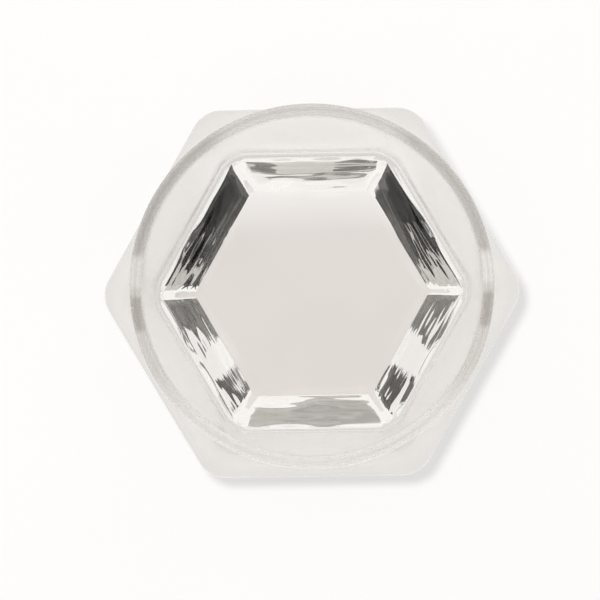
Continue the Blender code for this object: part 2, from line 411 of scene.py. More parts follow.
def facet_place(place):
    """Where a point lies on the hollow's facets: the facet's number, along it, up it, and its reach."""
    reaches = [place.xy.dot(Vector((math.cos(turn), math.sin(turn)))) for turn in FACET_TURNS]
    side = reaches.index(max(reaches))
    turn = FACET_TURNS[side]
    along = place.xy.dot(Vector((-math.sin(turn), math.cos(turn))))
    up = (place.z - SEAT_HEIGHT) / (HOLLOW_TOP - SEAT_HEIGHT)
    return side, along, up, reaches[side]


# %% Slump and ripples in the hollow
FACET_SLUMP = 0.000010
RIPPLE_DEPTH = 0.000007
RIPPLE_LONG = 0.0090
RIPPLE_SHORT = 0.0014
RIPPLE_FADE = 0.0015
FINE_RIPPLE = 2.3
FINE_SHARE = 0.5
EDGE_FADE = 12
WITHIN = (0.01, 0.99)
SIDE_JUMPS = (5, 2.7)


def facet_depth(place):
    """How far a point of a facet is pressed into the glass, or None for a point that isn't on one."""
    side, along, up, reach = facet_place(place)
    mouth = PRESSED_FLATS / 2 - BASE_RING
    run = mouth - HOLLOW_TOP_FLATS / 2
    if not WITHIN[0] < up < WITHIN[1] or abs(mouth - up * run - reach) > SUPPORT:
        return None
    to_hip = (reach * math.tan(math.pi / 6) - abs(along)) / RIPPLE_FADE
    faded = min(max(to_hip, 0), 1) * min(1, EDGE_FADE * up, EDGE_FADE * (1 - up))
    slant = math.hypot(HOLLOW_TOP - SEAT_HEIGHT, run)
    jump_along, jump_off = SIDE_JUMPS
    where = Vector((
        along / RIPPLE_LONG + jump_along * side, up * slant / RIPPLE_SHORT, jump_off * side))
    wave = noise.noise(where) + FINE_SHARE * noise.noise(FINE_RIPPLE * where)
    return FACET_SLUMP * 4 * up * (1 - up) + faded * RIPPLE_DEPTH * wave


def press(piece, name, depth_at):
    """Presses points off the flat, by a Displace modifier that is weighted point by point."""
    group = piece.vertex_groups.new(name=name)
    depths = [(vertex.index, depth_at(vertex.co)) for vertex in piece.data.vertices]
    depths = [(index, max(depth, 0)) for index, depth in depths if depth is not None]
    deepest = max(depth for index, depth in depths)
    for index, depth in depths:
        group.add([index], depth / deepest, "REPLACE")
    displace = piece.modifiers.new(name, "DISPLACE")
    displace.strength = -deepest
    displace.mid_level = 0.0
    displace.vertex_group = name
    bpy.ops.object.modifier_apply(modifier=displace.name)
    return len(depths)


print("facet points:", press(glass_vessel, "facets", facet_depth))

# %% [markdown]
# ## Sink marks in the floor
#
# Thick and thin glass cool at different speeds, and the surface above a change of thickness sinks
# unevenly. Here that is the border of the floor. It bends the view of the slopes below, so their
# outlines look wavy. The helper from the last step presses these marks too, with a slower and deeper
# pattern.

# %% Sink marks in the floor
FLOOR_SINK = 0.00022
SINK_LONG = 0.0052
SINK_DRAW = 4.8
SINK_MEAN = 0.5
INNER_FADE = 5


def sink_depth(place):
    """How far a point of the floor's ring has sunk, or None for a point that isn't on it."""
    *others, reach = facet_place(place)
    outer = BORE_FLATS / 2 - HEEL_RADIUS - SUPPORT
    share = (reach / outer - FLOOR_RING) / (1 - FLOOR_RING)
    if abs(place.z - FLOOR_HEIGHT) > NEAR or not WITHIN[0] < share < WITHIN[1]:
        return None
    faded = min(1, INNER_FADE * share, EDGE_FADE * (1 - share))
    where = Vector((place.x / SINK_LONG, place.y / SINK_LONG, SINK_DRAW))
    return FLOOR_SINK * faded * (SINK_MEAN + noise.noise(where))


print("floor points:", press(glass_vessel, "floor_ring", sink_depth))

# %% [markdown]
# ## Foot
#
# A clear moulded foot has a socket for the cylinder's pressed end and a narrow ledge that carries it.
# From above no inner edge shows, so the wall stands upright to a shoulder and then leans in to a thin
# collar. A Boolean could cut the socket out of a block, but it leaves long, thin faces. Instead the
# outer wall, the socket and the opening are three prisms without ends, and bridging their edges makes
# the collar's top, the ledge and the underside.

# %% Foot
FOOT_FLATS = 0.0553
FOOT_HEIGHT = 0.0220
SHOULDER_HEIGHT = 0.0100
COLLAR_FLATS = 0.0484
FOOT_CORNER = 0.0045
SOCKET_FLATS = 0.0464
SOCKET_CORNER = 0.0067
LEDGE_HEIGHT = 0.0017
OPENING_FLATS = 0.04172
OPENING_CORNER = 0.0045
FOOT_CORNER_CUTS = 10


def open_ends(low, high):
    """Takes both ends off a prism and leaves edit mode."""
    for z in (low, high):
        pick("FACE", at_height(z))
        bpy.ops.mesh.delete(type="ONLY_FACE")
    bpy.ops.object.mode_set(mode="OBJECT")


def open_prism(name, flats, low, high, corner):
    """A prism with rounded corners and no ends."""
    piece = start_prism(name, flats, low, high)
    round_corners(corner, FOOT_CORNER_CUTS)
    open_ends(low, high)
    return piece


def make_block():
    """The foot's outer wall: upright to the shoulder, then leaning in to a narrow collar."""
    block = start_prism("clear_foot", FOOT_FLATS, 0, SHOULDER_HEIGHT)
    round_corners(FOOT_CORNER, FOOT_CORNER_CUTS)
    pick("FACE", at_height(SHOULDER_HEIGHT))
    bpy.ops.mesh.extrude_region_move(
        TRANSFORM_OT_translate={"value": (0, 0, FOOT_HEIGHT - SHOULDER_HEIGHT)})
    shrink = COLLAR_FLATS / FOOT_FLATS
    bpy.ops.transform.resize(value=(shrink, shrink, 1))
    open_ends(0, FOOT_HEIGHT)
    return block


def make_foot():
    """Joins the outer wall, the socket and the opening, and bridges them into one closed body."""
    walls = [
        make_block(),
        open_prism("socket", SOCKET_FLATS, LEDGE_HEIGHT, FOOT_HEIGHT + STEP, SOCKET_CORNER),
        open_prism("opening", OPENING_FLATS, STEP, LEDGE_HEIGHT + STEP, OPENING_CORNER),
    ]
    join(walls)
    for z in (FOOT_HEIGHT, LEDGE_HEIGHT, 0):
        print("bridged edges:", bridge(z, z + STEP))
    face_out()
    return walls[0]


clear_foot = make_foot()

# %% [markdown]
# ## Rounding the foot's edges
#
# Plastic doesn't fill the sharp corners of a mould, so every edge has a small round that catches the
# light. The rounds are bevels on picked edges. A Weighted Normal modifier then keeps the flat sides
# flat in the shading, so that they don't bend what is seen through them.

# %% Rounding the foot's edges
SHOULDER_ROUND = 0.0006
SHOULDER_SEGMENTS = 10
FOOT_LOW_ROUND = 0.0005
FOOT_LOW_SEGMENTS = 5
COLLAR_ROUND = 0.0003


def round_foot():
    """Rounds the shoulder, the collar's two edges and the lower edge of the foot."""
    ring = SOCKET_FLATS / 2 * TO_CORNER
    pick("EDGE", at_height(SHOULDER_HEIGHT))
    bpy.ops.mesh.bevel(offset=SHOULDER_ROUND, segments=SHOULDER_SEGMENTS, profile=0.5, affect="EDGES")
    print("collar edges:", round_loop(FOOT_HEIGHT, COLLAR_ROUND, EDGE_SEGMENTS))
    print("lower edges:", round_loop(0, FOOT_LOW_ROUND, FOOT_LOW_SEGMENTS, beyond=ring))


round_foot()
finish_piece(clear_foot)
weighted = clear_foot.modifiers.new("flat_sides", "WEIGHTED_NORMAL")
weighted.keep_sharp = True
bpy.ops.object.modifier_apply(modifier=weighted.name)

# %% [markdown]
# ## Smudges
#
# Pieces that are handled carry faint smudges, and a clear surface without any looks false. They could
# be painted, but most materials here need them, so they are a node group: a noise on Object
# coordinates, cut to a soft mask. Each material places the group with its own scale and colours. A few
# helpers come first, because the same kinds of nodes are added again and again.

# %% Node helpers


def feed(tree, value, socket):
    """Links an output into a socket, or sets the socket to a plain value."""
    if isinstance(value, bpy.types.NodeSocket):
        tree.links.new(value, socket)
    else:
        socket.default_value = value


def calculate(tree, operation, *values):
    """Adds a Math node to a node tree and gives its result."""
    step = tree.nodes.new("ShaderNodeMath")
    step.operation = operation
    for socket, value in zip(step.inputs, values):
        feed(tree, value, socket)
    return step.outputs["Value"]


def fade(tree, value, start, end, low=0.0, high=1.0):
    """Adds a Map Range node, which goes from low to high while a value goes from start to end."""
    node = tree.nodes.new("ShaderNodeMapRange")
    settings = {"Value": value, "From Min": start, "From Max": end, "To Min": low, "To Max": high}
    for name, setting in settings.items():
        feed(tree, setting, node.inputs[name])
    return node.outputs["Result"]


def tint_over(tree, below, mask, tint):
    """Lays a tint, or another colour, over a colour where a mask is 1."""
    mix = tree.nodes.new("ShaderNodeMix")
    mix.data_type = "RGBA"
    for name, value in {"A": below, "B": tint, "Factor": mask}.items():
        feed(tree, value, mix.inputs[name])
    return mix.outputs["Result"]


# %% Smudge group
SMUDGE_DETAIL = 4.0


def start_group(name, inputs, outputs):
    """A new node group with sockets for plain values, and its two end nodes."""
    group = bpy.data.node_groups.new(name, "ShaderNodeTree")
    for title, value in inputs.items():
        socket = group.interface.new_socket(title, in_out="INPUT", socket_type="NodeSocketFloat")
        socket.default_value = value
    for title in outputs:
        group.interface.new_socket(title, in_out="OUTPUT", socket_type="NodeSocketFloat")
    return group, group.nodes.new("NodeGroupInput"), group.nodes.new("NodeGroupOutput")


def make_smudge_group():
    """A node group with a soft mask of smudges, for most materials here."""
    group, entry, leave = start_group("smudges", {"Scale": 40.0, "Low": 0.45, "High": 0.75}, ["Smudge"])
    place = group.nodes.new("ShaderNodeTexCoord")
    smudge = group.nodes.new("ShaderNodeTexNoise")
    smudge.inputs["Detail"].default_value = SMUDGE_DETAIL
    feed(group, place.outputs["Object"], smudge.inputs["Vector"])
    feed(group, entry.outputs["Scale"], smudge.inputs["Scale"])
    mask = fade(group, smudge.outputs["Fac"], entry.outputs["Low"], entry.outputs["High"])
    feed(group, mask, leave.inputs["Smudge"])
    return group


smudges = make_smudge_group()
print("group sockets:", [item.name for item in smudges.interface.items_tree])

# %% [markdown]
# ## Glass and acrylic
#
# Both are a Principled shader with full transmission. They differ in tint and in how strongly they bend
# light. A Glass shader would do for the picture, but the Principled one keeps tint, roughness and
# transmission in one node, and that also survives an export.

# %% Glass and acrylic
CLEAR_SMUDGE = 40
GLASS_TINTS = ((0.995, 0.992, 0.987), (0.985, 0.982, 0.975))
GLASS_BEND = 1.5
ACRYLIC_TINTS = ((0.985, 0.963, 0.928), (0.975, 0.953, 0.918))
ACRYLIC_BEND = 1.49


def new_material(name):
    """A material with only its Principled shader and its output."""
    material = bpy.data.materials.new(name)
    material.use_nodes = True
    return material


def shader_of(material):
    """The Principled shader of a material."""
    return material.node_tree.nodes["Principled BSDF"]


def smudged_material(name, scale, clean, smudged):
    """A material whose colour goes from clean to smudged."""
    material = new_material(name)
    tree = material.node_tree
    mask = tree.nodes.new("ShaderNodeGroup")
    mask.node_tree = smudges
    mask.inputs["Scale"].default_value = scale
    colour = tint_over(tree, (*clean, 1), mask.outputs["Smudge"], (*smudged, 1))
    feed(tree, colour, shader_of(material).inputs["Base Color"])
    return material


def make_clear(name, tints, bend):
    """A clear material with a slight tint and faint smudges."""
    material = smudged_material(name, CLEAR_SMUDGE, *tints)
    settings = {"Metallic": 0.0, "Roughness": 0.0, "IOR": bend, "Transmission Weight": 1.0}
    for socket, value in settings.items():
        shader_of(material).inputs[socket].default_value = value
    return material


clear_glass = make_clear("clear_glass", GLASS_TINTS, GLASS_BEND)
clear_acrylic = make_clear("clear_acrylic", ACRYLIC_TINTS, ACRYLIC_BEND)
print("clear materials:", clear_glass.name, clear_acrylic.name)

# %% [markdown]
# ## Drawn wall, ground rim and painted shade on the rim
#
# A wall that was drawn hot is a little hazy. The rim was ground before the fire rounded it, so it is
# a little rough. Its tint paints light and shade into the glass: a soft grey band of painted shade,
# darker at its thin edges, with painted shade and painted reflections in darker stretches round the
# mouth and painted light and painted glints in lighter ones. These finishes could be materials of their
# own on picked faces, but then hard seams would show. One material fades from each finish to the next,
# by ramps along the piece's own axes.

# %% Masks along a piece
SPAN_SOFT = 0.0004


def ramp_along(tree, axis, low, high, fold=False):
    """A mask that goes from 0 to 1 between two places along an axis, or both ways from the middle."""
    place = tree.nodes.new("ShaderNodeTexCoord")
    split = tree.nodes.new("ShaderNodeSeparateXYZ")
    feed(tree, place.outputs["Object"], split.inputs["Vector"])
    where = split.outputs[axis]
    if fold:
        where = calculate(tree, "ABSOLUTE", where)
    return fade(tree, where, low, high)


def window_along(tree, axis, span, within):
    """A mask that is 1 between two places along an axis, and only where another mask is 1."""
    low, high = span
    for start, end in ((low - SPAN_SOFT, low + SPAN_SOFT), (high + SPAN_SOFT, high - SPAN_SOFT)):
        within = calculate(tree, "MULTIPLY", within, ramp_along(tree, axis, start, end))
    return within


# %% Painted shade, reflections and glints on the rim
# Painted light and shade: the crown's grey, the darker sides and the darker upper stretches are painted
# shade. The lighter front is painted light, the dark stretch at each side is a painted reflection, and the
# white one is a painted glint.
CROWN_PAINTED_SHADE = (0.72, 0.705, 0.68, 1)
SIDE_PAINTED_SHADE = (0.72, 0.70, 0.675, 1)
SIDE_REACH = (0.0225, 0.0260)
FRONT_PAINTED_LIGHT = (0.99, 0.98, 0.97, 1)
UPPER_PAINTED_SHADE = (0.44, 0.425, 0.405, 1)
UPPER_REACH = (0.0115, 0.0150)
UPPER_SPAN = (0.0050, 0.0300)
SIDE_ENDS = (0.0235, 0.0245)
DARK_PAINTED_REFLECTION = (0.34, 0.32, 0.30, 1)
DARK_REFLECTION_SPAN = (-0.0062, -0.0012)
PAINTED_GLINT = (1.0, 1.0, 1.0, 1)
PAINTED_GLINT_SPAN = (0.0002, 0.0044)


def crown_colour(tree, front):
    """The rim crown's painted shade, with stretches of painted shade, painted reflection, painted light and
    painted glint laid over one another.
    """
    upper = ramp_along(tree, "X", *UPPER_REACH, fold=True)
    ends = ramp_along(tree, "X", *SIDE_ENDS, fold=True)
    painted_stretches = (
        (ramp_along(tree, "X", *SIDE_REACH, fold=True), SIDE_PAINTED_SHADE),
        (front, FRONT_PAINTED_LIGHT),
        (window_along(tree, "Y", UPPER_SPAN, upper), UPPER_PAINTED_SHADE),
        (window_along(tree, "Y", DARK_REFLECTION_SPAN, ends), DARK_PAINTED_REFLECTION),
        (window_along(tree, "Y", PAINTED_GLINT_SPAN, ends), PAINTED_GLINT),
    )
    colour = CROWN_PAINTED_SHADE
    for mask, tint in painted_stretches:
        colour = tint_over(tree, colour, mask, tint)
    return colour


# %% Ground rim and its painted edge shade
HAZE_REACH = (0.0110, 0.0140)
GLASS_HAZE = 0.18
GROUND_ROUGH = 0.28
GROUND_EDGE = (0.0788, 0.0790)
GROUND_CROWN = (0.0793, 0.0799)
FRONT_REACH = (-0.0120, -0.0190)
# Painted shade at the rim's thin edges, and painted light that keeps them pale at the front.
EDGE_PAINTED_SHADE = (0.50, 0.48, 0.45, 1)
FRONT_EDGE_PAINTED_LIGHT = (0.97, 0.96, 0.94, 1)


def grind_rim(material):
    """Adds the drawn wall's haze and the ground rim's roughness to the glass, and paints shade and light into
    the rim's tint.
    """
    tree, shader = material.node_tree, shader_of(material)
    haze = calculate(tree, "MULTIPLY", ramp_along(tree, "Z", *HAZE_REACH), GLASS_HAZE)
    crown = ramp_along(tree, "Z", *GROUND_CROWN)
    feed(tree, fade(tree, crown, 0.0, 1.0, haze, GROUND_ROUGH), shader.inputs["Roughness"])
    front = ramp_along(tree, "Y", *FRONT_REACH)
    # The edge colour is painted shade, with painted light at the front.
    edge = tint_over(tree, EDGE_PAINTED_SHADE, front, FRONT_EDGE_PAINTED_LIGHT)
    colour = shader.inputs["Base Color"].links[0].from_socket
    colour = tint_over(tree, colour, ramp_along(tree, "Z", *GROUND_EDGE), edge)
    colour = tint_over(tree, colour, crown, crown_colour(tree, front))
    feed(tree, colour, shader.inputs["Base Color"])


grind_rim(clear_glass)
print("nodes in the glass:", len(clear_glass.node_tree.nodes))

# %% [markdown]
# ## Satin slope on the foot
#
# The foot's mould is polished below the shoulder and satin above it, so the slope looks frosted and
# hides the ledge behind it. Two materials would meet in a hard line. Instead the roughness rises in a
# short ramp just above the shoulder.

# %% Satin slope
SATIN_ROUGH = 0.30
SATIN_START = (0.0102, 0.0108)


def satin_slope(material):
    """Makes the foot satin above its shoulder, and leaves the upright wall polished."""
    tree = material.node_tree
    satin = calculate(tree, "MULTIPLY", ramp_along(tree, "Z", *SATIN_START), SATIN_ROUGH)
    feed(tree, satin, shader_of(material).inputs["Roughness"])


satin_slope(clear_acrylic)
print("nodes in the acrylic:", len(clear_acrylic.node_tree.nodes))

# %% [markdown]
# ## Light through clear pieces
#
# Clear pieces hardly darken the table they stand on. A refracting shader would leave it in full shadow
# unless caustics were computed, which is slow and noisy. So for the rays that carry light to the table a
# share of each surface is simply transparent. The foot is thick, so its surfaces pass only half of the
# lamp's light each, and it keeps a faint shadow.

# %% Light through clear pieces


def let_light_pass(material, shares):
    """Makes a clear material transparent, by a share for each kind of ray."""
    tree = material.node_tree
    path = tree.nodes.new("ShaderNodeLightPath")
    passing = 0.0
    for ray, share in shares.items():
        passing = calculate(tree, "MULTIPLY_ADD", path.outputs[ray], share, passing)
    clear = tree.nodes.new("ShaderNodeBsdfTransparent")
    choose = tree.nodes.new("ShaderNodeMixShader")
    sources = (passing, shader_of(material).outputs["BSDF"], clear.outputs["BSDF"])
    for source, socket in zip(sources, choose.inputs):
        feed(tree, source, socket)
    feed(tree, choose.outputs["Shader"], tree.nodes["Material Output"].inputs["Surface"])


let_light_pass(clear_glass, {"Is Shadow Ray": 1.0, "Is Diffuse Ray": 1.0})
let_light_pass(clear_acrylic, {"Is Shadow Ray": 0.5, "Is Diffuse Ray": 1.0})
print("light passes through:", clear_glass.name, clear_acrylic.name)

# %% Placing the clear pieces
for piece, body, node, slot, material in (
        (glass_vessel, "cylinder", "glass_cylinder", "clear_glass", clear_glass),
        (clear_foot, "foot", "hexagonal_foot", "clear_acrylic", clear_acrylic)):
    piece.data.materials.append(material)
    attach(piece, body)
    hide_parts(node)
    print(piece.name, "rides on", body, "and replaces", node)

# %% [markdown]
# ## Scale marks
#
# Each line of a scale stands where a round number of millilitres reaches. The bore changes its section
# on the way up, so no simple formula gives the heights. The script fills the bore in thin slices and
# notes the height at each step, as one would calibrate the glass with water.

# %% Scale marks
SCALE_STEP_ML = 5
SCALE_FREEBOARD = 0.0080
SCALE_ABOVE_FOOT = 0.0030
VOLUME_SLICE = 0.0001
SECTION_STEPS = 120
ML_IN_CUBIC_METRE = 1e6


def bore_reach(turn, z):
    """How far the bore reaches from the axis in one direction at a height."""
    centre = (BORE_FLATS / 2 - BORE_CORNER) * TO_CORNER
    off_corner = abs((turn + math.pi / 6) % (math.pi / 3) - math.pi / 6)
    hexagon = BORE_FLATS / 2 / math.cos(math.pi / 6 - off_corner)
    across = centre * math.sin(off_corner)
    if across < BORE_CORNER / 2:
        corner = centre * math.cos(off_corner) + math.sqrt(BORE_CORNER ** 2 - across ** 2)
        hexagon = min(hexagon, corner)
    return hexagon + roundness(z) * (RIM_RADIUS - RIM_WALL - hexagon)


def bore_area(z):
    """The area of the bore at a height, summed over thin wedges round the axis."""
    wedge = 2 * math.pi / SECTION_STEPS
    area = 0.0
    for step in range(SECTION_STEPS):
        area += bore_reach((step + 0.5) * wedge, z) ** 2 * wedge / 2
    return area


def find_marks():
    """Volume in ml and height of each line, found by filling the bore in thin slices."""
    marks = []
    filled, z, volume = 0.0, FLOOR_HEIGHT, SCALE_STEP_ML
    while z < RIM_HEIGHT - SCALE_FREEBOARD:
        filled += bore_area(z) * VOLUME_SLICE * ML_IN_CUBIC_METRE
        z += VOLUME_SLICE
        if filled >= volume:
            if z > FOOT_HEIGHT + SCALE_ABOVE_FOOT:
                marks.append((volume, z))
            volume += SCALE_STEP_ML
    return marks


SCALE_MARKS = find_marks()
print("marks in ml and mm:", [(volume, round(1000 * z, 1)) for volume, z in SCALE_MARKS])

# %% [markdown]
# ## Scale lines
#
# White enamel is printed on the glass and fired, and stands out by less than a tenth of a millimetre.
# Cutting each line from a thin shell by a Boolean would work, but slowly. Here flat strips are laid in
# front of the glass, projected onto it by Shrinkwrap and given their thickness by Solidify.

# %% Firing enamel onto the glass
ENAMEL = 0.00008


def fire_on(pieces, name):
    """Joins flat pieces of enamel, lays them onto the glass and gives them their thickness."""
    join(pieces)
    bpy.ops.object.mode_set(mode="OBJECT")
    enamel = pieces[0]
    enamel.name = enamel.data.name = name
    wrap = enamel.modifiers.new("onto_glass", "SHRINKWRAP")
    wrap.target = glass_vessel
    wrap.wrap_method = "PROJECT"
    wrap.use_project_y = True
    wrap.use_project_x = wrap.use_project_z = False
    wrap.use_positive_direction = True
    wrap.use_negative_direction = False
    wrap.offset = ENAMEL / 2
    bpy.ops.object.modifier_apply(modifier=wrap.name)
    thick = enamel.modifiers.new("thickness", "SOLIDIFY")
    thick.thickness = ENAMEL
    thick.offset = 1.0
    bpy.ops.object.modifier_apply(modifier=thick.name)
    reach = [round(-1000 * vertex.co.y, 2) for vertex in enamel.data.vertices]
    print(name, "reaches from the axis in mm:", max(reach), min(reach))
    return enamel


# %% Scale lines
SCALE_LEFT = -0.0090
LINE_HEIGHT = 0.0005
LINE_LENGTHS = {20: 0.0120, 10: 0.0085, 5: 0.0055}
LINE_COLUMNS = 24
UPRIGHT_ROWS = 90
IN_FRONT = -0.040


def add_strip(left, right, low, high, columns, rows):
    """A flat strip that faces the scale's side, in front of the glass."""
    bpy.ops.object.select_all(action="DESELECT")
    bpy.ops.mesh.primitive_grid_add(
        x_subdivisions=columns, y_subdivisions=rows, size=1,
        location=((left + right) / 2, IN_FRONT, (low + high) / 2), rotation=(math.pi / 2, 0, 0))
    strip = bpy.context.object
    strip.scale = (right - left, high - low, 1)
    bpy.ops.object.transform_apply(location=True, rotation=True, scale=True)
    return strip


def line_length(volume):
    """Long lines at each twenty, medium ones at each ten, short ones between."""
    return next(length for step, length in LINE_LENGTHS.items() if volume % step == 0)


def make_scale_lines():
    """An upright line and one level line for each mark."""
    half = LINE_HEIGHT / 2
    start = SCALE_LEFT + LINE_HEIGHT
    lowest, highest = SCALE_MARKS[0][1], SCALE_MARKS[-1][1]
    strips = [add_strip(SCALE_LEFT, start, lowest - half, highest + half, 2, UPRIGHT_ROWS)]
    for volume, z in SCALE_MARKS:
        end = SCALE_LEFT + line_length(volume)
        strips.append(add_strip(start, end, z - half, z + half, LINE_COLUMNS, 2))
    return strips


enamel_lines = fire_on(make_scale_lines(), "enamel_lines")

# %% [markdown]
# ## Scale numbers
#
# Plain numbers stand beside the long lines. Drawing them by hand would take long, so they are text that
# is made mesh, and they go onto the glass in the same way as the lines.

# %% Scale numbers
NUMBER_HEIGHT = 0.0032
NUMBER_LEFT = 0.0042
NUMBER_STEP_ML = 20
FIGURE_SHARE = 0.69


def add_number(volume, z):
    """One number in front of the glass, as tall as NUMBER_HEIGHT: figures fill a share of the text's size."""
    bpy.ops.object.select_all(action="DESELECT")
    bpy.ops.object.text_add()
    text = bpy.context.object.data
    text.body = str(volume)
    text.size = NUMBER_HEIGHT / FIGURE_SHARE
    text.align_y = "CENTER"
    bpy.ops.object.convert(target="MESH")
    number = bpy.context.object
    number.rotation_euler = (math.pi / 2, 0, 0)
    number.location = (NUMBER_LEFT, IN_FRONT, z)
    bpy.ops.object.transform_apply(location=True, rotation=True, scale=True)
    return number


numbers = [add_number(volume, z) for volume, z in SCALE_MARKS if volume % NUMBER_STEP_ML == 0]
enamel_numbers = fire_on(numbers, "enamel_numbers")

# %% [markdown]
# ## Enamel
#
# Fired enamel is opaque, white and satin, and a little worn where hands rub it. The smudge group serves
# for the wear. So thin a layer casts hardly a shadow, and in bent light that shadow would only add noise,
# so it is left out.

# %% Enamel
ENAMEL_WEAR = 300
ENAMEL_COLOURS = ((0.88, 0.88, 0.86), (0.80, 0.80, 0.77))
ENAMEL_ROUGH = 0.45

white_enamel = smudged_material("white_enamel", ENAMEL_WEAR, *ENAMEL_COLOURS)
shader_of(white_enamel).inputs["Roughness"].default_value = ENAMEL_ROUGH
for piece in (enamel_lines, enamel_numbers):
    piece.data.materials.append(white_enamel)
    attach(piece, "cylinder")
    piece.visible_shadow = piece.visible_diffuse = False
    print(piece.name, "faces:", len(piece.data.polygons))
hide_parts("scale_lines")

# %% [markdown]
# ## Table
#
# The object stands on a pale, matte surface that runs to white. A curved backdrop isn't needed from
# above, so one large plane is enough. It lies a tenth of a millimetre under the foot, so that the two
# don't flicker.

# %% Table
TABLE_SIZE = 6
TABLE_DROP = 0.0001
TABLE_SMUDGE = 12
TABLE_COLOURS = ((0.95, 0.94, 0.932), (0.94, 0.93, 0.922))
MATTE_ROUGH = 0.9


def make_matte(material):
    """Takes the shine off a material."""
    shader_of(material).inputs["Roughness"].default_value = MATTE_ROUGH
    shader_of(material).inputs["Specular IOR Level"].default_value = 0.0
    return material


def make_table():
    """A pale matte table top."""
    bpy.ops.object.select_all(action="DESELECT")
    bpy.ops.mesh.primitive_plane_add(size=TABLE_SIZE, location=(0, 0, -TABLE_DROP))
    table = bpy.context.object
    table.name = "table"
    table.data.materials.append(make_matte(smudged_material("pale_table", TABLE_SMUDGE, *TABLE_COLOURS)))
    return table


print("made", make_table().name)

# %% [markdown]
# ## Mat under the foot
#
# Through the floor of the glass the surface looks warm grey, and lighter towards the far edge. Tinted
# glass would grey the walls too, so the tone is put where it is seen: on a thin sheet under the foot,
# smaller than the foot, that only shows through the glass. The lighter far edge is painted light.

# %% Mat under the foot
MAT_FLATS = 0.0410
MAT_DROP = 0.00005
MAT_SMUDGE = 60
MAT_COLOURS = ((0.743, 0.703, 0.668), (0.724, 0.684, 0.649))
MAT_PAINTED_LIGHT = (0.90, 0.87, 0.85, 1)
MAT_PAINTED_LIGHT_REACH = (0.0090, 0.0160)


def make_mat():
    """A thin warm grey sheet with six sides, with painted light towards its far edge."""
    bpy.ops.object.select_all(action="DESELECT")
    bpy.ops.mesh.primitive_circle_add(
        vertices=6, radius=MAT_FLATS / 2 * TO_CORNER, fill_type="NGON",
        location=(0, 0, -MAT_DROP), rotation=(0, 0, math.pi / 6))
    mat = bpy.context.object
    mat.name = "mat"
    bpy.ops.object.transform_apply(location=True, rotation=True, scale=True)
    material = make_matte(smudged_material("warm_grey_mat", MAT_SMUDGE, *MAT_COLOURS))
    tree, tone = material.node_tree, shader_of(material).inputs["Base Color"]
    # Painted light: the sheet turns lighter towards its far edge.
    edge = ramp_along(tree, "Y", *MAT_PAINTED_LIGHT_REACH)
    feed(tree, tint_over(tree, tone.links[0].from_socket, edge, MAT_PAINTED_LIGHT), tone)
    mat.data.materials.append(material)
    return mat


print("made", make_mat().name)

# %% [markdown]
# ## World and lamp
#
# A pale room lights the object from all sides, and one large soft lamp on the upper left gives the faint
# shadow. The room looks white to the camera and in the glass, but it lights the table with less, so that
# the lamp still counts. That is a choice by Light Path between two strengths. The lamp itself is hidden
# from reflections, where it would burn out.

# %% World
WORLD_LIGHT = 0.70
WORLD_SEEN = 1.0


def make_world():
    """A pale room that looks brighter than it lights."""
    world = bpy.data.worlds.new("pale_room")
    scene.world = world
    world.use_nodes = True
    tree = world.node_tree
    light = tree.nodes["Background"]
    seen = tree.nodes.new("ShaderNodeBackground")
    for background, level in ((light, WORLD_LIGHT), (seen, WORLD_SEEN)):
        background.inputs["Color"].default_value = (1, 1, 1, 1)
        background.inputs["Strength"].default_value = level
    path = tree.nodes.new("ShaderNodeLightPath")
    looking = calculate(tree, "MAXIMUM", path.outputs["Is Camera Ray"], path.outputs["Is Glossy Ray"])
    looking = calculate(tree, "MAXIMUM", looking, path.outputs["Is Transmission Ray"])
    choose = tree.nodes.new("ShaderNodeMixShader")
    sources = (looking, light.outputs["Background"], seen.outputs["Background"])
    for source, socket in zip(sources, choose.inputs):
        feed(tree, source, socket)
    feed(tree, choose.outputs["Shader"], tree.nodes["World Output"].inputs["Surface"])
    return world


print("made", make_world().name)

# %% Lamp
LAMP_PLACE = Vector((-0.255, 0.255, 2.0))
LAMP_SIZE = 0.33
LAMP_WATTS = 14.6


def make_lamp():
    """One large soft lamp from the upper left of the picture."""
    bpy.ops.object.select_all(action="DESELECT")
    bpy.ops.object.light_add(type="AREA", location=LAMP_PLACE)
    lamp = bpy.context.object
    lamp.name = "soft_lamp"
    lamp.rotation_euler = (-LAMP_PLACE).to_track_quat("-Z", "Y").to_euler()
    lamp.data.shape = "DISK"
    lamp.data.size = LAMP_SIZE
    lamp.data.energy = LAMP_WATTS
    lamp.visible_glossy = lamp.visible_transmission = False
    return lamp


print("made", make_lamp().name)

# %% [markdown]
# ## Dark flag overhead
#
# Photographers hang black cloth where they don't want a white reflection. A dark disc above the camera
# keeps a pale veil off the dark slopes of the hollow. It is seen only in direct reflections and by light
# that has been turned back twice, so that it doesn't darken the view through the glass.

# %% Dark flag overhead
FLAG_HEIGHT = 2.2
FLAG_RADIUS = 0.60
FLAG_SIDES = 48
FLAG_SMUDGE = 20
FLAG_COLOURS = ((0.012, 0.012, 0.012), (0.02, 0.02, 0.02))


